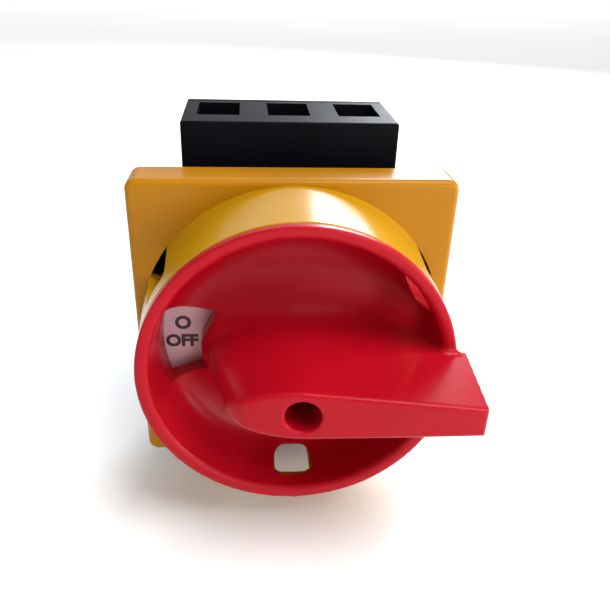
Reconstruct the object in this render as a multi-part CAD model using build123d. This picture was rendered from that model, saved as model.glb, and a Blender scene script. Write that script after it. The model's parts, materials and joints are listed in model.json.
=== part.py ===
from build123d import *
import math
import os

# Rotary isolator switch for a panel door, in millimetres.
# The origin is on the spindle axis, in the plane where the front plate meets the panel.
# +Z is up, the operator stands on the -Y side, and +Y runs into the panel.
# The handle is drawn at OFF, with the lever towards +X. It turns clockwise, to -Z, for ON.

# ---- driving dimensions: the front ----
PLATE_SIDE = 64.0          # square front plate
PLATE_DEPTH = 8.0
PLATE_WALL = 2.2
PLATE_CORNER_R = 2.3
PLATE_EDGE_R = 1.2
BOSS_R = 17.2              # thick middle of the plate
WEB_BACK_Y = -2.0          # web between the gasket and the ring nut
WEB_FRONT_Y = -4.3
NUT_R = 14.8
NUT_RECESS_R = 15.2
GASKET_T = 1.95
LEGEND_T = 0.6
COLLAR_BASE_R = 30.9       # padlock collar, slightly tapered
COLLAR_FRONT_R = 30.0
COLLAR_BORE_R = 28.9
COLLAR_FRONT_Y = -24.3
TAB_R = 30.4               # snap tabs that hold the collar in the plate
TAB_ANGLES = (90, 210, 330)
TAB_HALF = 5.0             # half of a tab's angle

# ---- driving dimensions: the handle ----
RIM_R = 30.0
RIM_FRONT_Y = -26.3
RIM_BACK_Y = -24.6
CUP_WALL_R = 28.4
CUP_MOUTH_R = 27.6
CUP_FLOOR_R = 26.9
FLOOR_FRONT_Y = -12.0
FLOOR_BACK_Y = -9.6
LEVER_TIP_X = 31.6
LEVER_FRONT_Y = -38.6      # front face of the lever on the spindle axis
LEVER_SLOPE = 5.5          # the front face rises this many degrees towards the tip
HUB_X = -4.0               # where the lever's straight sides end and its round nose begins
SCREW_HEAD_R = 3.0
SCREW_SEAT_Y = -23.0
WINDOW_HALF = 18.5         # half of the legend window's angle

# ---- driving dimensions: padlock slots, alike in the collar and in the handle's wall ----
SLOT_ANGLES = (30, 150, 270)   # counter-clockwise from +X, seen from the front
CUP_SLOT_WIDTH = 9.0
CUP_SLOT_FRONT_Y = -22.5
CUP_SLOT_CORNER_R = 2.6
COLLAR_SLOT_WIDTH = 7.5
COLLAR_SLOT_FRONT_Y = -20.0
COLLAR_SLOT_CORNER_R = 1.5
WINDOW_BEHIND_SLOT = 7.0   # half angle of the plate's window behind each slot

# ---- driving dimensions: the black body ----
NECK_R = 11.0              # threaded neck for a 22.5 mm panel hole
KEY_HALF = 1.4             # anti-turn key on the neck
PANEL_MAX = 3.0            # thickest panel, from the plate's back to the housing's shoulder
HOUSING_X = 22.5           # half widths and half heights of the black body
HOUSING_Z = 27.0
HOUSING_BACK_Y = 9.5
BEARING_BACK_Y = 11.0
BLOCK_Z = 39.0
BLOCK_FRONT_Y = 8.0
BLOCK_BACK_Y = 28.0
COVER_BACK_Y = 30.0
SEAM = 0.25                # chamfers that make the groove between the block and its cover
ASSEMBLY_X = 7.5           # long assembly screws
ASSEMBLY_Z = 23.3
ASSEMBLY_R = 1.5
ASSEMBLY_HEAD_R = 2.8

# ---- driving dimensions: the drive ----
SPINDLE_SIDE = 6.0
JOURNAL_FRONT_R = 5.0      # the spindle's bearings, in the neck and in the bearing plate
JOURNAL_BACK_R = 4.5
TURN = 90.0                # degrees from OFF to ON
STOP_R = 8.5               # the drive cam's lobe, between the two ends of the stop ring
LOBE_HALF = 15.0
DRIVE_BACK_Y = 13.6
CRANK_R = 2.0              # the crank pin's throw: a quarter turn slides the carrier by 2.83
CRANK_PIN_R = 1.2
SPRING_Z = (5.6, 6.1)      # a detent spring, against the flats of an 11 mm square cam
CAM_SIDE = 11.0

# ---- driving dimensions: terminals and contacts ----
POLES_X = (-15.0, 0.0, 15.0)
TERMINAL_Z = 30.5
TERMINAL_SCREW_R = 1.9
TERMINAL_HEAD_R = 3.2
STRIP_FRONT_Y = 20.5       # fixed contact strips
STRIP_BACK_Y = 21.7
LEG_X = (4.2, 5.4)         # the strip's leg, from its pole's centre line
CONTACT_Y = 21.3           # contact tips
CONTACT_Z = 12.0
TIP_R = 2.0
TIP_T = 1.0
BRIDGE_X = -1.93           # back of the moving bridge at OFF, from its pole's centre line
BRIDGE_T = 1.2
BRIDGE_HALF_Z = 14.4
CAGE_BACK_X = -4.3         # the carrier's wall behind each contact spring
SPRING_R = 1.6
SPRING_WIRE_R = 0.2

RUNNING_FIT = 0.05         # between pieces that turn in each other, on the radius
SNUG_FIT = 0.03            # between the spindle and what it drives, on each side
CLEARANCE = 0.15           # between pieces that are only put together, on each side
PAST = 1.0                 # how far a cut runs past the surface that it opens

SKIN_BACK_Y = PLATE_WALL - PLATE_DEPTH
CRANK_OFFSET = CRANK_R * 0.5 ** 0.5
BRIDGE_FRONT_X = BRIDGE_X + BRIDGE_T


# ---- helpers ----
def front_plane(y):
    """A plane facing the operator: its x is X, its y is Z and it is extruded towards -Y."""
    return Plane(origin=(0, y, 0), x_dir=(1, 0, 0), z_dir=(0, -1, 0))


def prism(sketch, y_back, y_front):
    """Extrude a sketch drawn in X and Z from y_back to y_front, where y_back is the larger."""
    return extrude(front_plane(y_back) * sketch, amount=y_back - y_front)


def disc(radius, y_back, y_front, x=0.0, z=0.0):
    return prism(Pos(x, z) * Circle(radius), y_back, y_front)


def ring(outer, inner, y_back, y_front):
    return disc(outer, y_back, y_front) - disc(inner, y_back + PAST, y_front - PAST)


def slab(x0, x1, y0, y1, z0, z1):
    """A box between two corners."""
    middle = Pos((x0 + x1) / 2, (y0 + y1) / 2, (z0 + z1) / 2)
    return middle * Box(x1 - x0, y1 - y0, z1 - z0)


def square_bar(half, y0, y1):
    return slab(-half, half, y0, y1, -half, half)


def x_disc(radius, x0, x1, y, z):
    """A round disc whose axis is X."""
    face = Plane(origin=(x0, y, z), x_dir=(0, 1, 0), z_dir=(1, 0, 0))
    return extrude(face * Circle(radius), amount=x1 - x0)


def cone(r_back, r_front, y_back, y_front):
    back = front_plane(y_back) * Circle(r_back)
    front = front_plane(y_front) * Circle(r_front)
    return loft([back, front])


def around_axis(shape, angle):
    """Turn a shape drawn at +X to an angle counter-clockwise as seen from the front."""
    return shape.rotate(Axis.Y, -angle)


def radial_slot(width, y_back, y_front, r0, r1, corner):
    """A rounded radial cut through a wall at +X, from radius r0 to r1."""
    outline = RectangleRounded(y_back - y_front, width, corner)
    side = Plane(origin=(r0, (y_back + y_front) / 2, 0), x_dir=(0, 1, 0), z_dir=(1, 0, 0))
    return extrude(side * outline, amount=r1 - r0)


def wedge(reach, y_back, y_front, half_angle):
    """A wedge from the axis towards +X, to both sides of it by half_angle."""
    half_width = reach * math.tan(math.radians(half_angle))
    outline = Polygon((0, 0), (reach, -half_width), (reach, half_width), align=None)
    return prism(outline, y_back, y_front)


def sector(r_out, r_in, y_back, y_front, half_angle):
    """A piece of a ring centred on +X."""
    return ring(r_out, r_in, y_back, y_front) & wedge(2 * r_out, y_back, y_front, half_angle)


def lever_outline(tip_x, tip_half, hub_half, nose_x):
    """A square tip, straight sides and a round nose."""
    upper = Line((tip_x, tip_half), (HUB_X, hub_half))
    nose = ThreePointArc((HUB_X, hub_half), (nose_x, 0), (HUB_X, -hub_half))
    lower = Line((HUB_X, -hub_half), (tip_x, -tip_half))
    tip = Line((tip_x, -tip_half), (tip_x, tip_half))
    return make_face([upper, nose, lower, tip])


def front_edges(body):
    return body.faces().sort_by(Axis.Y)[0].edges()


def back_edges(body):
    return body.faces().sort_by(Axis.Y)[-1].edges()


def neck_key(clearance, y0, y1):
    """The anti-turn key at the top of the neck, or the notch for it."""
    half = KEY_HALF + clearance
    return slab(-half, half, y0, y1, NECK_R - 1, NECK_R + 1 + clearance)


def assembly_places():
    return [(x, z) for x in (-ASSEMBLY_X, ASSEMBLY_X) for z in (-ASSEMBLY_Z, ASSEMBLY_Z)]


# ---- front, seen by the operator ----
def front_plate():
    inner_side = PLATE_SIDE - 2 * PLATE_WALL
    body = prism(RectangleRounded(PLATE_SIDE, PLATE_SIDE, PLATE_CORNER_R), 0, -PLATE_DEPTH)
    body = fillet(front_edges(body), PLATE_EDGE_R)
    hollow = prism(RectangleRounded(inner_side, inner_side, 1.5), PAST, SKIN_BACK_Y)
    body -= hollow - disc(BOSS_R, 2 * PAST, -PLATE_DEPTH)
    body -= disc(NUT_RECESS_R, WEB_FRONT_Y, -PLATE_DEPTH - PAST)
    body -= disc(BOSS_R + 0.01, PAST, WEB_BACK_Y)
    body -= disc(NECK_R + CLEARANCE, PAST, -PLATE_DEPTH - PAST)
    body -= neck_key(0.2, -PLATE_DEPTH, PAST)
    through_skin = (SKIN_BACK_Y + PAST, -PLATE_DEPTH - PAST)
    tab_hole = sector(TAB_R + 0.1, COLLAR_BORE_R - 0.05, *through_skin, TAB_HALF + 0.4)
    for angle in TAB_ANGLES:
        body -= around_axis(tab_hole, angle)
    window = sector(COLLAR_BASE_R, COLLAR_BORE_R, *through_skin, WINDOW_BEHIND_SLOT)
    for angle in SLOT_ANGLES:
        body -= around_axis(window, angle)
    rib = slab(BOSS_R - 0.6, PLATE_SIDE * 0.66, SKIN_BACK_Y - 0.4, -GASKET_T - 0.25, -0.7, 0.7)
    for angle in (45, 135, 225, 315):
        body += around_axis(rib, angle)
    return body


def padlock_collar():
    body = cone(COLLAR_BASE_R, COLLAR_FRONT_R, -PLATE_DEPTH, COLLAR_FRONT_Y)
    body = fillet(front_edges(body), 0.4)
    body -= disc(COLLAR_BORE_R, -PLATE_DEPTH + PAST, COLLAR_FRONT_Y - PAST)
    tab = sector(TAB_R, COLLAR_BORE_R + 0.05, SKIN_BACK_Y + 0.4, -PLATE_DEPTH - 0.5, TAB_HALF)
    for angle in TAB_ANGLES:
        body += around_axis(tab, angle)
    slot_back = -PLATE_DEPTH + 2 * COLLAR_SLOT_CORNER_R
    r_in = COLLAR_BORE_R - PAST
    r_out = COLLAR_BASE_R + PAST
    slot = radial_slot(COLLAR_SLOT_WIDTH, slot_back, COLLAR_SLOT_FRONT_Y, r_in, r_out, COLLAR_SLOT_CORNER_R)
    for angle in SLOT_ANGLES:
        body -= around_axis(slot, angle)
    return body


def panel_gasket():
    """A square rubber sheet that fills the plate's back and seals it to the panel."""
    side = PLATE_SIDE - 2 * PLATE_WALL - 0.6
    sheet = prism(RectangleRounded(side, side, 1.2), 0, -GASKET_T)
    return sheet - disc(NECK_R + 0.3, PAST, -GASKET_T - PAST) - neck_key(0.3, -GASKET_T - PAST, PAST)


def legend_plate():
    return ring(28.2, NUT_RECESS_R + 0.4, -PLATE_DEPTH, -PLATE_DEPTH - LEGEND_T)


def fixing_nut():
    nut_back = WEB_FRONT_Y - 0.05
    nut_front = -PLATE_DEPTH + 0.3
    nut = ring(NUT_R, NECK_R + 0.08, nut_back, nut_front)
    notch = slab(NUT_R - 0.9, NUT_R + PAST, nut_front - PAST, -5.6, -1.2, 1.2)
    for angle in range(0, 360, 45):
        nut -= around_axis(notch, angle)
    return nut


# ---- handle and what turns with it ----
def cup():
    body = disc(CUP_WALL_R, FLOOR_BACK_Y, RIM_BACK_Y) + disc(RIM_R, RIM_BACK_Y, RIM_FRONT_Y)
    body = fillet(front_edges(body), 0.7)
    return body - cone(CUP_FLOOR_R, CUP_MOUTH_R, FLOOR_FRONT_Y, RIM_FRONT_Y - PAST)


def lever():
    """A grip that overhangs the rim, standing on a flared foot inside the cup."""
    beyond_front = LEVER_FRONT_Y - 7.4
    grip_back = front_plane(RIM_FRONT_Y) * lever_outline(LEVER_TIP_X, 4.7, 5.1, -17.0)
    grip_front = front_plane(beyond_front) * lever_outline(LEVER_TIP_X, 2.4, 3.9, -9.0)
    grip = loft([grip_back, grip_front], ruled=True)
    rise = math.radians(LEVER_SLOPE)
    above = Plane(
        origin=(0, LEVER_FRONT_Y, 0),
        x_dir=(math.cos(rise), -math.sin(rise), 0),
        z_dir=(-math.sin(rise), -math.cos(rise), 0),
    )
    grip = split(grip, bisect_by=above, keep=Keep.BOTTOM)
    foot_back = front_plane(FLOOR_FRONT_Y + PAST) * lever_outline(20.0, 8.6, 9.6, -18.0)
    foot_front = front_plane(RIM_FRONT_Y + 0.01) * lever_outline(24.5, 4.8, 5.2, -17.1)
    return grip + loft([foot_back, foot_front], ruled=True)


def handle():
    boss = disc(6.6, -PAST, FLOOR_BACK_Y - PAST)
    body = cup() + lever() + boss
    body -= square_bar(SPINDLE_SIDE / 2 + RUNNING_FIT, -21.6, 0)
    body -= disc(SCREW_HEAD_R + 0.2, SCREW_SEAT_Y, LEVER_FRONT_Y - 10)
    body -= disc(2.2, -20, SCREW_SEAT_Y - PAST)
    seal_groove = ring(8, 5.3, -3.0, -4.8)
    body -= seal_groove
    window = sector(26.5, 16.9, FLOOR_BACK_Y + PAST, FLOOR_FRONT_Y - 6, WINDOW_HALF)
    body -= around_axis(window, 180)
    slot = radial_slot(CUP_SLOT_WIDTH, FLOOR_FRONT_Y, CUP_SLOT_FRONT_Y, 25.5, 29.5, CUP_SLOT_CORNER_R)
    for angle in SLOT_ANGLES:
        body -= around_axis(slot, angle)
    return body


def handle_screw():
    head_back = SCREW_SEAT_Y - 0.9
    head_front = -26.5
    body = disc(SCREW_HEAD_R, head_back, head_front) + disc(1.95, -14, head_back - 0.1)
    return body - slab(-2.4, 2.4, head_front - PAST, head_front + 1.1, -0.45, 0.45)


def handle_washer():
    """A split spring washer."""
    washer = ring(SCREW_HEAD_R, 2.1, SCREW_SEAT_Y - 0.05, SCREW_SEAT_Y - 0.85)
    return washer - slab(0, SCREW_HEAD_R + PAST, -25, -22, -0.2, 0.2)


def spindle():
    body = square_bar(SPINDLE_SIDE / 2, -21.5, 12.85)
    body = chamfer(body.edges().filter_by(Axis.Y), 0.4)
    return body - disc(2.0, -13, -23)


def spindle_seal():
    return Pos(0, -3.9, 0) * Rot(90, 0, 0) * Torus(6.15, 0.8)


def detent_cam():
    cam = prism(RectangleRounded(CAM_SIDE, CAM_SIDE, 1.6), 9.2, 5.3)
    journal = disc(JOURNAL_FRONT_R, 5.4, 0.4)
    return cam + journal - square_bar(SPINDLE_SIDE / 2 + SNUG_FIT, -PAST, 11)


def drive_cam():
    """A journal, a lobe that meets the stops, and the crank pin that slides the carrier."""
    flange_front = 11.3
    socket_end = 12.9
    body = disc(JOURNAL_BACK_R, 12.0, 9.4) + disc(6.0, DRIVE_BACK_Y, flange_front)
    body -= square_bar(SPINDLE_SIDE / 2 + SNUG_FIT, 8, socket_end)
    body += around_axis(sector(STOP_R, 5.0, DRIVE_BACK_Y, flange_front, LOBE_HALF), TURN / 2)
    return body + disc(CRANK_PIN_R, 16.0, DRIVE_BACK_Y - 0.1, -CRANK_OFFSET, CRANK_OFFSET)


# ---- black body ----
def mechanism_housing():
    body = slab(-HOUSING_X, HOUSING_X, PANEL_MAX, HOUSING_BACK_Y, -HOUSING_Z, HOUSING_Z)
    body = fillet(front_edges(body), 0.8)
    body += disc(NECK_R, PANEL_MAX + PAST, -PLATE_DEPTH)
    body += neck_key(0, WEB_FRONT_Y + 0.1, PANEL_MAX + PAST)
    body -= disc(7.0, 0.2, -20)
    body -= disc(JOURNAL_FRONT_R + RUNNING_FIT, 20, -PAST)
    cam_space = slab(-14.5, 14.5, 5.0, 12, -8.5, 8.5)
    body -= cam_space
    for x, z in assembly_places():
        body -= disc(ASSEMBLY_R + RUNNING_FIT, 12, 4.6, x, z)
    return body


def bearing_plate():
    """Carries the drive cam's journal, and the ring whose two ends stop the cam's lobe."""
    body = slab(-20.7, 20.7, HOUSING_BACK_Y, BEARING_BACK_Y, -20.9, 20.9)
    stops = ring(STOP_R + 0.3, 6.4, 13.4, 10.5)
    stops -= wedge(30, 14, BEARING_BACK_Y, TURN / 2 + LOBE_HALF + 1.0)
    return body + stops - disc(JOURNAL_BACK_R + RUNNING_FIT, 12, 9)


def terminal_space(x, sign):
    """Chamber for one wire clamp, its slot for the strip and the wire entry in the end face."""
    chamber = slab(x - 4.7, x + 4.7, 14, 40, 26.6, 35.4)
    mouth = slab(x - 4.5, x + 4.5, 14, 26, 35, 45)
    slot = slab(x - 3.2, x + 3.2, STRIP_FRONT_Y - 0.2, 40, 19, 27)
    space = chamber + mouth + slot
    return space if sign > 0 else mirror(space, Plane.XY)


def terminal_block():
    body = slab(-HOUSING_X, HOUSING_X, BLOCK_FRONT_Y, BLOCK_BACK_Y, -BLOCK_Z, BLOCK_Z)
    body = fillet(body.edges().filter_by(Axis.Y), 0.6)
    body = fillet(front_edges(body), 0.4)
    body = chamfer(back_edges(body), SEAM)
    seat_z = HOUSING_Z + 0.1
    housing_seat = slab(-30, 30, 0, HOUSING_BACK_Y, -seat_z, seat_z)
    bearing_seat = slab(-20.9, 20.9, 9, BEARING_BACK_Y, -21.1, 21.1)
    carrier_space = slab(-20.9, 20.9, 10, 16.4, -12.3, 12.3)
    body -= housing_seat + bearing_seat + carrier_space
    for x in POLES_X:
        body -= slab(x - 5.9, x + 5.9, 16, 40, -20, 20)
        for sign in (-1, 1):
            body -= terminal_space(x, sign)
    for x, z in assembly_places():
        body -= disc(ASSEMBLY_R + CLEARANCE, 40, 0, x, z)
    return body


def rear_cover():
    body = slab(-HOUSING_X, HOUSING_X, BLOCK_BACK_Y, COVER_BACK_Y, -BLOCK_Z, BLOCK_Z)
    body = fillet(body.edges().filter_by(Axis.Y), 0.6)
    body = fillet(back_edges(body), 0.5)
    body = chamfer(front_edges(body), SEAM)
    for x in POLES_X:
        for z in (-TERMINAL_Z, TERMINAL_Z):
            body -= disc(TERMINAL_HEAD_R + 0.4, 40, 20, x, z)
    for x, z in assembly_places():
        body -= disc(ASSEMBLY_R + CLEARANCE, 40, 20, x, z)
        body -= disc(ASSEMBLY_HEAD_R + 0.3, 40, COVER_BACK_Y - 1.2, x, z)
    return body


def cross_recess(x, z, reach, half, y0):
    """The cut for a cross screwdriver, from y0 backwards."""
    across = slab(x - reach, x + reach, y0, COVER_BACK_Y + PAST, z - half, z + half)
    upright = slab(x - half, x + half, y0, COVER_BACK_Y + PAST, z - reach, z + reach)
    return across + upright


def assembly_screws():
    screws = []
    for x, z in assembly_places():
        head = disc(ASSEMBLY_HEAD_R, 29.8, 28.85, x, z)
        screw = head + disc(ASSEMBLY_R, 29, 5.0, x, z)
        screws.append(screw - cross_recess(x, z, 2.2, 0.35, 29.3))
    return Compound(children=screws)


# ---- terminals ----
def terminal_clamp(x):
    """A square steel cage, open along Z for the wire, with a threaded back wall."""
    body = slab(x - 4.4, x + 4.4, 14.3, 25.9, 27.0, 34.0)
    body -= slab(x - 3.4, x + 3.4, 15.2, 24.2, 20, 40)
    return body - disc(TERMINAL_SCREW_R + RUNNING_FIT, 30, 23, x, TERMINAL_Z)


def terminal_screw(x):
    shank = disc(TERMINAL_SCREW_R, 26.5, STRIP_BACK_Y + RUNNING_FIT, x, TERMINAL_Z)
    head = disc(TERMINAL_HEAD_R, 28.9, 26.2, x, TERMINAL_Z)
    return shank + head - cross_recess(x, TERMINAL_Z, 2.5, 0.45, 27.9)


def contact_strip(x):
    """A copper strip from the wire clamp to a leg that faces the moving bridge."""
    body = slab(x - 3.0, x + 3.0, STRIP_FRONT_Y, STRIP_BACK_Y, 15.0, 34.6)
    body += slab(x + 2.5, x + LEG_X[1], STRIP_FRONT_Y, STRIP_BACK_Y, 15.0, 19.0)
    return body + slab(x + LEG_X[0], x + LEG_X[1], 18.6, 24.0, 8.5, 19.0)


def fixed_tip(x):
    face = x + LEG_X[0]
    return x_disc(TIP_R, face - TIP_T, face, CONTACT_Y, CONTACT_Z)


# ---- sliding contact carrier ----
def contact_carrier():
    body = slab(-20.3, 17.3, 13.9, 15.7, -12.15, 12.15)
    slot_half = CRANK_PIN_R + CLEARANCE
    body -= slab(-CRANK_OFFSET - slot_half, -CRANK_OFFSET + slot_half, 12, 18, -0.6, 3.7)
    for x in POLES_X:
        cage = slab(x - 5.5, x + 0.55, 15.6, 26.2, -3.5, 3.5)
        cage -= slab(x + CAGE_BACK_X, x + BRIDGE_FRONT_X + 0.05, 18.3, 24.2, -5, 5)
        if x == 0:
            crank_pin_space = slab(CAGE_BACK_X, 0.65, 12, 18.4, -1.2, 4.3)
            cage -= crank_pin_space
        body += cage
    return body


def moving_bridge(x):
    return slab(x + BRIDGE_X, x + BRIDGE_FRONT_X, 19.0, 23.6, -BRIDGE_HALF_Z, BRIDGE_HALF_Z)


def moving_tip(x):
    face = x + BRIDGE_FRONT_X
    return x_disc(TIP_R, face, face + TIP_T, CONTACT_Y, CONTACT_Z)


def contact_spring(x):
    """Two and a half coils between the cage's wall and the bridge."""
    first = CAGE_BACK_X + SPRING_WIRE_R + RUNNING_FIT
    last = BRIDGE_X - SPRING_WIRE_R - RUNNING_FIT
    path = Helix(pitch=(last - first) / 2.5, height=last - first, radius=SPRING_R)
    wire = Plane(origin=path @ 0, z_dir=path % 0) * Circle(SPRING_WIRE_R)
    start = Plane(origin=(x + first, CONTACT_Y, 0), x_dir=(0, 1, 0), z_dir=(1, 0, 0))
    return start * sweep(wire, path=path)


# ---- detent ----
def upper_detent_spring():
    return slab(-13.9, 13.9, 5.7, 8.9, *SPRING_Z)


def lower_detent_spring():
    return mirror(upper_detent_spring(), Plane.XY)


# ---- groups of alike pieces ----
def upper(make):
    """One solid for each pole, on the line side above the axis."""
    return [make(x) for x in POLES_X]


def lower(make):
    """One solid for each pole, on the load side below the axis."""
    return [mirror(solid, Plane.XY) for solid in upper(make)]


GROUPS = {
    "line_clamps": upper(terminal_clamp),
    "load_clamps": lower(terminal_clamp),
    "terminal_screws": upper(terminal_screw) + lower(terminal_screw),
    "line_contacts": upper(contact_strip),
    "load_contacts": lower(contact_strip),
    "fixed_tips": upper(fixed_tip) + lower(fixed_tip),
    "moving_bridges": upper(moving_bridge),
    "moving_tips": upper(moving_tip) + lower(moving_tip),
    "contact_springs": upper(contact_spring),
}

SINGLES = (
    front_plate, padlock_collar, panel_gasket, legend_plate, fixing_nut,
    handle, handle_screw, handle_washer, spindle, spindle_seal, detent_cam, drive_cam,
    mechanism_housing, bearing_plate, terminal_block, rear_cover, assembly_screws,
    contact_carrier, upper_detent_spring, lower_detent_spring,
)

os.makedirs("parts", exist_ok=True)
for make in SINGLES:
    export_step(make(), f"parts/{make.__name__}.step")
for node, solids in GROUPS.items():
    export_step(Compound(children=solids), f"parts/{node}.step")
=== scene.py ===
import json
import math

import bmesh
import bpy
import numpy as np
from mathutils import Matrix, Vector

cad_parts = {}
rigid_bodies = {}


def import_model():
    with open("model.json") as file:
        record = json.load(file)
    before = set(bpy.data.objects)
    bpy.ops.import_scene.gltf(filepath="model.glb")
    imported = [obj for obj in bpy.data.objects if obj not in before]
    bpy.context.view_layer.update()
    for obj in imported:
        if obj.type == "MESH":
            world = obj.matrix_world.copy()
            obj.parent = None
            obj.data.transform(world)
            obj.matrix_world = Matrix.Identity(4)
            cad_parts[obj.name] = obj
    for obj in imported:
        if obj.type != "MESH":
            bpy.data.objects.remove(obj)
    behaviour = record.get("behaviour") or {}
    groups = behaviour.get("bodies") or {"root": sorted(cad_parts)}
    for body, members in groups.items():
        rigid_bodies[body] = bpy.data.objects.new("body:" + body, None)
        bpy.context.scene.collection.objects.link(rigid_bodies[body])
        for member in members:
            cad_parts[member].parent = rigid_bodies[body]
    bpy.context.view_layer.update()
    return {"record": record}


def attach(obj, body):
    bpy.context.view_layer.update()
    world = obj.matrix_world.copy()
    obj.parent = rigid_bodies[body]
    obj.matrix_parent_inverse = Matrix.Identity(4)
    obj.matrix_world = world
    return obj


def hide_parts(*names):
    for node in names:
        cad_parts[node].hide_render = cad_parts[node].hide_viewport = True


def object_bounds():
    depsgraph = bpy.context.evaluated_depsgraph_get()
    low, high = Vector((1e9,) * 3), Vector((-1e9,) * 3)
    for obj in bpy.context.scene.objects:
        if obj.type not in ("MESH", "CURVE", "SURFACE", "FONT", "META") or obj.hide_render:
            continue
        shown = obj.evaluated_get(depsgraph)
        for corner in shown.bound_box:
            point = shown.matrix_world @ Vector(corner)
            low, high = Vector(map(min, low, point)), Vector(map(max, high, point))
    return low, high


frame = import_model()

import openvdb
from mathutils import Matrix, Vector

MM = 0.001

# Sizes are in millimetres, in the frame's axes: the operator is on the -Y side.

# ---- sizes: the cup ----
RIM_R = 30.0
RIM_FRONT = -26.3
RIM_BACK = -24.6
WALL_R = 28.4
MOUTH_R = 27.5
FLOOR_R = 26.6
FLOOR_FRONT = -12.0
FLOOR_BACK = -9.6
BOWL_BLEND = 7.0           # between the cup's wall and its floor
LIP_BLEND = 1.4

# ---- sizes: the lever, whose foot stands in the cup and whose grip overhangs it ----
TIP_HALF = 4.7             # half widths at the rim's height: at the tip and on the spindle axis
AXIS_HALF = 5.3
FOOT_TIP_FLARE = 3.0       # how much wider the foot is at the floor
FOOT_AXIS_FLARE = 3.6
FOOT_NOSE_X = -17.2
FOOT_NOSE_LEAN = 1.6       # how far the nose draws back on its way up to the rim
FOOT_NOSE_FLARE = 0.8
FLARE_POWER = 2.2
ROOT_BLEND = 7.0           # between the foot and the cup: at the floor and at the rim
RIM_BLEND = 1.2
GRIP_TIP_X = 31.4
GRIP_FRONT = -38.6         # on the spindle axis
GRIP_SLOPE = math.radians(5.5)
GRIP_HEIGHT = 15.0
GRIP_TIP_TAPER = 1.9       # how much narrower the grip is after GRIP_HEIGHT
GRIP_AXIS_TAPER = 0.5
GRIP_NOSE_X = -15.6
GRIP_NOSE_TAPER = 4.0
GRIP_OVERLAP = 0.3         # how far the grip reaches behind the rim's front
GRIP_EDGE_BLEND = 0.9
NOSE_DROP_X = -8.0         # left of this the front face falls away
NOSE_DROP = 0.42
FOOT_LEAN = 0.85           # scales that bring a leaning outline's field back to a distance
NOSE_LEAN = 0.9

# ---- sizes: openings in the handle ----
HOLE_R = 3.2               # screw hole in the lever
SCREW_SEAT = -23.0
SCREW_BORE_R = 2.2
SCREW_BORE_BACK = -20.0
HOLE_BLEND = 0.5
HUB_R = 6.6                # hub behind the floor, with its square socket and its groove
HUB_BACK = -1.0
GROOVE_Y = -3.9
GROOVE_HALF = 0.9
GROOVE_R = 5.3
SOCKET_HALF = 3.05
SOCKET_FRONT = -21.6
SOCKET_BACK = 3.6
WINDOW_BOTTOM = math.radians(18.5)   # lower edge, below nine o'clock
WINDOW_TOP = 4.8           # straight upper edge: its height above the axis
WINDOW_TOP_RISE = 0.144    # and its rise towards the left
WINDOW_TOP_SCALE = 0.99
WINDOW_INNER_R = 17.0      # at the top; further down the inner edge leans out
WINDOW_LEAN = 1.5
WINDOW_LEAN_TOP = 5.0
WINDOW_LEAN_HEIGHT = 4.0
WINDOW_OUTER_R = 26.4
WINDOW_FRONT = -18.0
WINDOW_RIGHT_LIMIT = -5.0  # keeps the edges' far sides out of it
WINDOW_BLEND = 0.4
SLOT_ANGLES = (30, 150, 270)
SLOT_R = 29.1              # middle of a padlock slot
SLOT_HALF_R = 3.0
SLOT_HALF_WIDTH = 4.4
SLOT_FRONT = -22.5
SLOT_CORNER_R = 2.5
SLOT_BLEND = 0.7

# ---- sizes: lettering ----
LEGEND_FRONT = -8.6
COVER_BACK = 30.0
POLES_X = (-15.0, 0.0, 15.0)
NUMBER_Z = 36.4
NUMBER_SIZE = 3.4
NUMBER_WEIGHT = 0.04
LEGEND_WEIGHT = 0.18
INK_T = 0.02

# ---- meshing ----
MESH_LOW = (-30.0, -42.2, -30.0)
MESH_HIGH = (31.8, -1.0, 30.0)
CELL = 0.3
SETTLE_PASSES = 3
SETTLE_STEP = 0.02


# ---- node materials ----
def new_material(name):
    material = bpy.data.materials.new(name)
    material.use_nodes = True
    nodes = material.node_tree.nodes
    return material, nodes, material.node_tree.links, nodes["Principled BSDF"]


def noise(nodes, links, scale, detail=3.0, roughness=0.5, stretch=None):
    """Object-space noise whose scale is in cycles per metre."""
    coords = nodes.new("ShaderNodeTexCoord")
    texture = nodes.new("ShaderNodeTexNoise")
    texture.inputs["Scale"].default_value = scale
    texture.inputs["Detail"].default_value = detail
    texture.inputs["Roughness"].default_value = roughness
    source = coords.outputs["Object"]
    if stretch:
        mapping = nodes.new("ShaderNodeMapping")
        mapping.inputs["Scale"].default_value = stretch
        links.new(source, mapping.inputs["Vector"])
        source = mapping.outputs["Vector"]
    links.new(source, texture.inputs["Vector"])
    return texture.outputs["Fac"]


def ramp(nodes, links, source, stops):
    """A colour ramp: stops are (position, colour) pairs."""
    node = nodes.new("ShaderNodeValToRGB")
    elements = node.color_ramp.elements
    while len(elements) < len(stops):
        elements.new(0.5)
    for element, (position, colour) in zip(elements, stops):
        element.position = position
        element.color = (*colour, 1.0)
    links.new(source, node.inputs["Fac"])
    return node.outputs["Color"]


def spread(nodes, links, source, low, high):
    node = nodes.new("ShaderNodeMapRange")
    node.inputs["To Min"].default_value = low
    node.inputs["To Max"].default_value = high
    links.new(source, node.inputs["Value"])
    return node.outputs["Result"]


def bump(nodes, links, shader, height, strength, distance):
    node = nodes.new("ShaderNodeBump")
    node.inputs["Strength"].default_value = strength
    node.inputs["Distance"].default_value = distance
    links.new(height, node.inputs["Height"])
    links.new(node.outputs["Normal"], shader.inputs["Normal"])


# noise scales in cycles per metre
FLOW_SCALE = 45.0
SMEAR_SCALE = 140.0
BRUSH_SCALE = 5200.0
BRUSH_STRETCH = 0.06
PLATING_SCALE = 260.0
BRUSH_DEPTH = 0.00001
RED_SCATTER = (0.0012, 0.0004, 0.0002)   # metres that red, green and blue travel inside a moulding


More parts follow.
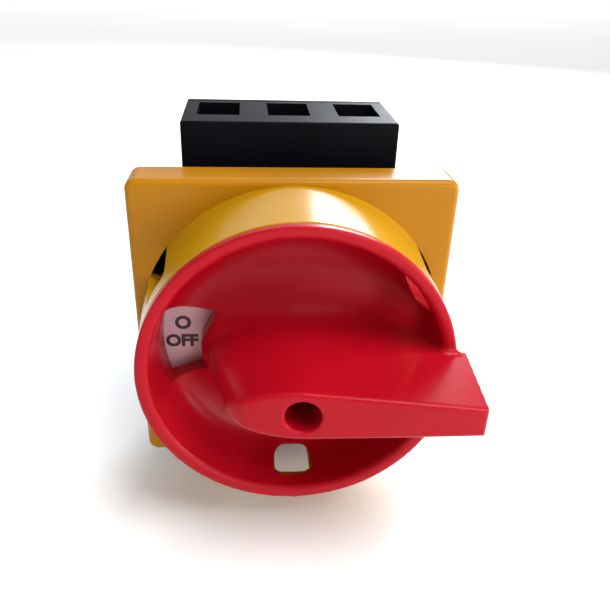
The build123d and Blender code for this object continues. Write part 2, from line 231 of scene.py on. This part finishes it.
def clouded(nodes, links, shader, clouds, dark, light):
    links.new(ramp(nodes, links, clouds, [(0.3, dark), (0.7, light)]), shader.inputs["Base Color"])


def moulded_plastic(
    name, dark, light, gloss, grain=6000.0, grain_depth=0.00002, shine=0.5, subsurface=0.0
):
    """Injection-moulded plastic: faint flow clouding, fine spark-eroded grain and uneven gloss."""
    material, nodes, links, shader = new_material(name)
    clouded(nodes, links, shader, noise(nodes, links, FLOW_SCALE, 4.0), dark, light)
    smears = noise(nodes, links, SMEAR_SCALE, 5.0, 0.6)
    links.new(spread(nodes, links, smears, *gloss), shader.inputs["Roughness"])
    fine = noise(nodes, links, grain, 2.0)
    bump(nodes, links, shader, fine, 0.25, grain_depth)
    shader.inputs["Specular IOR Level"].default_value = shine
    if subsurface:
        shader.inputs["Subsurface Weight"].default_value = subsurface
        shader.inputs["Subsurface Radius"].default_value = RED_SCATTER
        shader.inputs["Subsurface Scale"].default_value = 1.0
    return material


def plated_metal(name, dark, light, gloss, brush_axis):
    """Metal with brushing along one axis and slightly clouded plating."""
    material, nodes, links, shader = new_material(name)
    stretch = tuple(BRUSH_STRETCH if i == brush_axis else 1.0 for i in range(3))
    brushing = noise(nodes, links, BRUSH_SCALE, 3.0, 0.6, stretch)
    clouded(nodes, links, shader, noise(nodes, links, PLATING_SCALE, 4.0), dark, light)
    links.new(spread(nodes, links, brushing, *gloss), shader.inputs["Roughness"])
    bump(nodes, links, shader, brushing, 0.2, BRUSH_DEPTH)
    shader.inputs["Metallic"].default_value = 1.0
    return material


RED = moulded_plastic(
    "red_plastic", (0.36, 0.002, 0.009), (0.41, 0.003, 0.012), (0.25, 0.35), shine=0.15, subsurface=0.08
)
YELLOW = moulded_plastic(
    "yellow_plastic", (0.38, 0.155, 0.002), (0.43, 0.178, 0.004), (0.20, 0.29), shine=0.15
)
COLLAR_YELLOW = moulded_plastic(
    "collar_yellow", (0.43, 0.213, 0.003), (0.47, 0.235, 0.005), (0.20, 0.30), shine=0.2
)
BLACK = moulded_plastic(
    "black_plastic", (0.0022, 0.0022, 0.004), (0.0045, 0.0045, 0.007), (0.40, 0.52),
    grain=4200.0, grain_depth=0.00004, shine=0.05,
)
GREY = moulded_plastic("grey_plastic", (0.34, 0.34, 0.31), (0.40, 0.40, 0.37), (0.4, 0.5))
# The legend is white; the pink in its colour is painted reflection of the red cup around the window.
LEGEND_WHITE_WITH_PAINTED_RED_REFLECTION = moulded_plastic("white_legend", (0.70, 0.43, 0.46), (0.76, 0.49, 0.52), (0.3, 0.4))
PRINT = moulded_plastic("white_print", (0.58, 0.56, 0.54), (0.64, 0.62, 0.60), (0.3, 0.4))
# Dark printed ink; its red tint is painted reflection of the red cup.
INK = moulded_plastic("legend_ink", (0.040, 0.014, 0.020), (0.055, 0.02, 0.028), (0.45, 0.6))
RUBBER = moulded_plastic("rubber", (0.015, 0.015, 0.016), (0.025, 0.025, 0.026), (0.65, 0.8), 2600.0)
STEEL = plated_metal("steel", (0.50, 0.50, 0.48), (0.64, 0.64, 0.60), (0.25, 0.42), 0)
SPRING = plated_metal("spring_steel", (0.38, 0.38, 0.39), (0.50, 0.50, 0.50), (0.2, 0.35), 0)
COPPER = plated_metal("copper", (0.58, 0.27, 0.14), (0.72, 0.36, 0.20), (0.25, 0.45), 2)
SILVER = plated_metal("silver", (0.70, 0.69, 0.66), (0.80, 0.79, 0.76), (0.3, 0.45), 1)

SLOT_MATERIALS = {
    "red_plastic": RED,
    "yellow_plastic": YELLOW,
    "black_plastic": BLACK,
    "grey_plastic": GREY,
    "white_legend": LEGEND_WHITE_WITH_PAINTED_RED_REFLECTION,
    "rubber": RUBBER,
    "steel": STEEL,
    "spring_steel": SPRING,
    "copper": COPPER,
    "silver": SILVER,
}


def finish_cad_nodes():
    """Give every CAD node the finish of its own slot. The collar gets a lighter, yellower copy of the
    yellow.
    """
    for part in frame["record"]["subparts"]:
        node = bpy.data.objects[part["node"]]
        for slot in node.material_slots:
            slot.material = SLOT_MATERIALS[part["material_slot"]]
    for slot in bpy.data.objects["padlock_collar"].material_slots:
        slot.material = COLLAR_YELLOW


# ---- solid shapes as distance fields, in millimetres ----
def box_field(p, centre, half, radius=0.0):
    q = [np.abs(p[i] - centre[i]) - (half[i] - radius) for i in range(3)]
    outside = np.sqrt(sum(np.maximum(a, 0) ** 2 for a in q))
    return outside + np.minimum(np.maximum(np.maximum(q[0], q[1]), q[2]), 0) - radius


def smooth_union(a, b, k):
    """a and b joined, with a blend about k wide between them."""
    h = np.clip(0.5 + 0.5 * (b - a) / k, 0, 1)
    return b * (1 - h) + a * h - k * h * (1 - h)


def smooth_overlap(a, b, k):
    """Where a and b are both solid, with the edge between them rounded."""
    return -smooth_union(-a, -b, k)


def smooth_cut(a, b, k):
    """a without b, with the edge between them rounded."""
    return -smooth_union(-a, b, k)


def settle(points, field):
    """Move points along the field's slope on to its zero surface, half a cell at most each time."""
    for _ in range(SETTLE_PASSES):
        here = field(points.T)
        steps = SETTLE_STEP * np.eye(3)
        rises = [field((points + step).T) - field((points - step).T) for step in steps]
        slope = np.stack(rises, axis=1) / (2 * SETTLE_STEP)
        steepness = np.maximum((slope**2).sum(axis=1), 0.2)
        move = -(here / steepness)[:, None] * slope
        size = np.maximum(np.linalg.norm(move, axis=1, keepdims=True), 1e-9)
        points = points + move * np.minimum(1, 0.5 * CELL / size)
    return points


def mesh_from_field(name, field, low, high, material):
    """Mesh the zero surface of a distance field and settle every vertex on it."""
    low = np.array(low, dtype=np.float64) - 2 * CELL
    high = np.array(high, dtype=np.float64) + 2 * CELL
    counts = np.ceil((high - low) / CELL).astype(int) + 1
    axes = [low[i] + CELL * np.arange(counts[i]) for i in range(3)]
    values = field(np.meshgrid(*axes, indexing="ij")).astype(np.float32)
    band = 4 * CELL
    grid = openvdb.FloatGrid(band)
    grid.copyFromArray(np.clip(values, -band, band))
    points, quads = grid.convertToQuads(isovalue=0.0)
    points = settle(low + points.astype(np.float64) * CELL, field)
    mesh = bpy.data.meshes.new(name)
    mesh.from_pydata((points * MM).tolist(), [], quads[:, ::-1].tolist())
    mesh.validate()
    mesh.materials.append(material)
    mesh.shade_smooth()
    piece = bpy.data.objects.new(name, mesh)
    bpy.context.collection.objects.link(piece)
    turn_faces_outwards(piece)
    return piece


def turn_faces_outwards(piece):
    work = bmesh.new()
    work.from_mesh(piece.data)
    if work.calc_volume(signed=True) < 0:
        bmesh.ops.reverse_faces(work, faces=work.faces)
    work.to_mesh(piece.data)
    work.free()


# ---- the handle ----
def lever_outline(x, z, tip_x, tip_half, axis_half, nose_x):
    """Distance in X and Z to a bar with straight converging sides, a square tip and a round nose."""
    slope = (axis_half - tip_half) / tip_x
    side = (np.abs(z) - axis_half + slope * x) / np.hypot(1, slope)
    length = -nose_x
    bulge = np.sqrt((np.minimum(x, 0) / length) ** 2 + (z / axis_half) ** 2)
    nose = (bulge - 1) * np.minimum(length, axis_half)
    return np.maximum(np.where(x < 0, nose, side), x - tip_x)


def between(y, front, back):
    return np.maximum(y - back, front - y)


def cup_fields(r, y):
    """The drum that bounds the cup from outside, and the cup with its bowl taken out."""
    wall = np.maximum(r - WALL_R, between(y, RIM_FRONT, FLOOR_BACK))
    flange = np.maximum(r - RIM_R, between(y, RIM_FRONT, RIM_BACK))
    drum = np.minimum(wall, flange)
    depth = (y - FLOOR_FRONT) / (RIM_FRONT - FLOOR_FRONT)
    bore_r = FLOOR_R + (MOUTH_R - FLOOR_R) * np.clip(depth, -0.2, 1.3)
    bowl = smooth_overlap(r - bore_r, y - FLOOR_FRONT, BOWL_BLEND)
    return drum, smooth_cut(drum, bowl, LIP_BLEND)


def with_foot(drum, cup, x, y, z):
    """The cup joined to the lever's foot, which flares towards the cup's floor."""
    rise = np.clip((FLOOR_FRONT - y) / (FLOOR_FRONT - RIM_FRONT), 0, 1)
    flare = (1 - rise) ** FLARE_POWER
    tip_half = TIP_HALF + FOOT_TIP_FLARE * flare
    axis_half = AXIS_HALF + FOOT_AXIS_FLARE * flare
    nose_x = FOOT_NOSE_X + FOOT_NOSE_LEAN * rise - FOOT_NOSE_FLARE * flare
    foot = lever_outline(x, z, MOUTH_R, tip_half, axis_half, nose_x)
    foot = np.maximum(foot * FOOT_LEAN, between(y, RIM_FRONT, FLOOR_BACK))
    blend = ROOT_BLEND + (RIM_BLEND - ROOT_BLEND) * rise**2
    return np.maximum(smooth_union(cup, foot, blend), drum)


def grip_field(x, y, z):
    """The part of the lever in front of the rim, tapering towards its slanted front face."""
    climb = np.clip((RIM_FRONT - y) / GRIP_HEIGHT, -0.3, 1.2)
    tip_half = TIP_HALF - GRIP_TIP_TAPER * climb
    axis_half = AXIS_HALF - GRIP_AXIS_TAPER * climb
    grip = lever_outline(x, z, GRIP_TIP_X, tip_half, axis_half, GRIP_NOSE_X + GRIP_NOSE_TAPER * climb)
    front = (GRIP_FRONT - math.tan(GRIP_SLOPE) * x - y) * math.cos(GRIP_SLOPE)
    fallen_front = (GRIP_FRONT - NOSE_DROP * (x - NOSE_DROP_X) - y) * NOSE_LEAN
    grip = np.maximum(grip, y - RIM_FRONT - GRIP_OVERLAP)
    return smooth_overlap(grip, np.maximum(front, fallen_front), GRIP_EDGE_BLEND)


def with_hub(body, p, r):
    """The hub behind the floor with its groove and square socket, and the screw's hole and bore."""
    y = p[1]
    body = np.minimum(body, np.maximum(r - HUB_R, between(y, FLOOR_BACK - 1.0, HUB_BACK)))
    body = np.maximum(body, -np.maximum(np.abs(y - GROOVE_Y) - GROOVE_HALF, GROOVE_R - r))
    body = smooth_cut(body, np.maximum(r - HOLE_R, y - SCREW_SEAT), HOLE_BLEND)
    socket_middle = (SOCKET_FRONT + SOCKET_BACK) / 2
    socket_half = (SOCKET_HALF, (SOCKET_BACK - SOCKET_FRONT) / 2, SOCKET_HALF)
    body = np.maximum(body, -box_field(p, (0, socket_middle, 0), socket_half))
    return np.maximum(body, -np.maximum(r - SCREW_BORE_R, between(y, SCREW_SEAT - 1.0, SCREW_BORE_BACK)))


def with_openings(body, x, y, z, r):
    """The legend window at nine o'clock and the padlock slots."""
    lower_edge = (-np.arctan2(z, -x) - WINDOW_BOTTOM) * r
    upper_edge = (z - WINDOW_TOP + WINDOW_TOP_RISE * x) * WINDOW_TOP_SCALE
    inner_r = WINDOW_INNER_R + WINDOW_LEAN * np.clip((WINDOW_LEAN_TOP - z) / WINDOW_LEAN_HEIGHT, 0, 1)
    window = np.maximum(np.maximum(lower_edge, upper_edge), between(r, inner_r, WINDOW_OUTER_R))
    window = np.maximum(window, np.maximum(x - WINDOW_RIGHT_LIMIT, WINDOW_FRONT - y))
    body = smooth_cut(body, window, WINDOW_BLEND)
    slot_middle = (SLOT_R, (SLOT_FRONT + FLOOR_FRONT) / 2, 0)
    slot_half = (SLOT_HALF_R, (FLOOR_FRONT - SLOT_FRONT) / 2, SLOT_HALF_WIDTH)
    for degrees in SLOT_ANGLES:
        c, s = math.cos(math.radians(degrees)), math.sin(math.radians(degrees))
        turned = (x * c + z * s, y, z * c - x * s)
        slot = box_field(turned, slot_middle, slot_half, SLOT_CORNER_R)
        body = smooth_cut(body, slot, SLOT_BLEND)
    return body


def handle_field(p):
    x, y, z = p
    r = np.hypot(x, z)
    drum, cup = cup_fields(r, y)
    body = with_foot(drum, cup, x, y, z)
    body = np.minimum(body, smooth_union(cup, grip_field(x, y, z), RIM_BLEND))
    body = with_hub(body, p, r)
    return with_openings(body, x, y, z, r)


def make_handle():
    piece = mesh_from_field("handle_moulding", handle_field, MESH_LOW, MESH_HIGH, RED)
    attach(piece, "handle")
    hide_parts("handle")


# ---- printed legend ----
def printed_text(name, words, size, weight, x, z, surface, towards_operator, ink):
    """Thin lettering on a flat surface that faces the operator or the back."""
    curve = bpy.data.curves.new(name, "FONT")
    curve.body = words
    curve.size = size * MM
    curve.align_x = "CENTER"
    curve.align_y = "CENTER"
    curve.extrude = INK_T * MM
    curve.offset = weight * MM
    curve.resolution_u = 6
    curve.materials.append(ink)
    text = bpy.data.objects.new(name, curve)
    bpy.context.collection.objects.link(text)
    turn = 0 if towards_operator else math.pi
    text.matrix_world = (
        Matrix.Translation(Vector((x, surface, z)) * MM)
        @ Matrix.Rotation(turn, 4, "Z")
        @ Matrix.Rotation(math.pi / 2, 4, "X")
    )
    mesh = bpy.data.meshes.new_from_object(text.evaluated_get(bpy.context.evaluated_depsgraph_get()))
    mesh.transform(text.matrix_world)
    bpy.data.objects.remove(text)
    piece = bpy.data.objects.new(name, mesh)
    bpy.context.collection.objects.link(piece)
    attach(piece, "housing")


def make_legends():
    """The position plate's words, and the terminal numbers on the rear cover."""
    front = LEGEND_FRONT - INK_T
    for name, words, size, x, z in (
        ("legend_off_sign", "O", 4.0, -22.5, 1.75),
        ("legend_off", "OFF", 3.75, -22.9, -2.5),
        ("legend_on_sign", "I", 4.0, 0.0, 23.7),
        ("legend_on", "ON", 3.75, 0.0, 20.3),
    ):
        printed_text(name, words, size, LEGEND_WEIGHT, x, z, front, True, INK)
    for pole, x in enumerate(POLES_X):
        for side, z in ((1, NUMBER_Z), (2, -NUMBER_Z)):
            number = str(2 * pole + side)
            name = "terminal_number_" + number
            size, weight = NUMBER_SIZE, NUMBER_WEIGHT
            printed_text(name, number, size, weight, -x, z, COVER_BACK, False, PRINT)


# ---- stage, light and camera, in metres ----
FLOOR_HALF = 3.0
FLOOR_GAP = 0.0002         # below the object
WORLD_LIGHT = 0.38
LIGHT_TARGET = (0, -0.02, 0)
DAYLIGHT = (0.88, 0.94, 1.0)
CAMERA_PLACE = (-0.009344, -0.12929, 0.071286)
CAMERA_PITCH, CAMERA_YAW, CAMERA_ROLL = -0.496, -0.098, -0.036
SENSOR = 36.0              # millimetres, as is the focal length
FOCAL_LENGTH = 39.5233


def make_stage():
    mesh = bpy.data.meshes.new("floor")
    floor_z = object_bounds()[0].z - FLOOR_GAP
    signs = ((-1, -1), (1, -1), (1, 1), (-1, 1))
    corners = [(i * FLOOR_HALF, j * FLOOR_HALF, floor_z) for i, j in signs]
    mesh.from_pydata(corners, [], [(0, 1, 2, 3)])
    material, nodes, links, shader = new_material("pale_floor")
    clouded(nodes, links, shader, noise(nodes, links, 3.0, 2.0), (0.90, 0.90, 0.90), (0.93, 0.93, 0.93))
    shader.inputs["Roughness"].default_value = 0.9
    mesh.materials.append(material)
    floor = bpy.data.objects.new("floor", mesh)
    bpy.context.collection.objects.link(floor)


def area_light(name, place, target, size, power, colour=(1, 1, 1)):
    """A rectangular studio light: size in metres, power in watts."""
    light = bpy.data.lights.new(name, "AREA")
    light.shape = "RECTANGLE"
    light.size, light.size_y = size
    light.energy = power
    light.color = colour
    lamp = bpy.data.objects.new(name, light)
    bpy.context.collection.objects.link(lamp)
    lamp.location = place
    aim = Vector(target) - Vector(place)
    lamp.rotation_mode = "QUATERNION"
    lamp.rotation_quaternion = aim.to_track_quat("-Z", "Y")


def make_lights():
    """Key above, one right of the camera, one at the right, a window behind and one over the far floor."""
    world = bpy.data.worlds.new("studio")
    world.use_nodes = True
    background = world.node_tree.nodes["Background"]
    background.inputs["Color"].default_value = (1, 1, 1, 1)
    background.inputs["Strength"].default_value = WORLD_LIGHT
    bpy.context.scene.world = world
    area_light("key", (0.20, -0.19, 0.53), LIGHT_TARGET, (0.34, 0.34), 3.4)
    area_light("front", (0.20, -0.36, 0.05), LIGHT_TARGET, (0.18, 0.18), 0.46)
    area_light("side", (0.50, -0.14, 0.10), LIGHT_TARGET, (0.16, 0.20), 1.6)
    area_light("window", (0.20, 0.50, 0.27), LIGHT_TARGET, (0.19, 0.21), 3.1, DAYLIGHT)
    area_light("backdrop", (0, 1.8, 1.0), (0, 1.8, 0), (3.4, 2.0), 28.0)


def make_camera():
    """The camera looks down from the front and is turned a little to the right."""
    camera = bpy.data.cameras.new("camera")
    camera.sensor_width = SENSOR
    camera.lens = FOCAL_LENGTH
    camera.clip_start = 0.005
    view = bpy.data.objects.new("camera", camera)
    bpy.context.collection.objects.link(view)
    aim = (
        Matrix.Rotation(CAMERA_YAW, 3, "Z")
        @ Matrix.Rotation(CAMERA_PITCH, 3, "X")
        @ Matrix.Rotation(CAMERA_ROLL, 3, "Y")
    )
    right, forward, up = aim.col
    turn = Matrix((right, up, -forward)).transposed().to_4x4()
    view.matrix_world = Matrix.Translation(CAMERA_PLACE) @ turn
    bpy.context.scene.camera = view


make_camera()
finish_cad_nodes()
make_handle()
make_legends()
make_stage()
make_lights()
bpy.context.scene.view_settings.view_transform = "Standard"
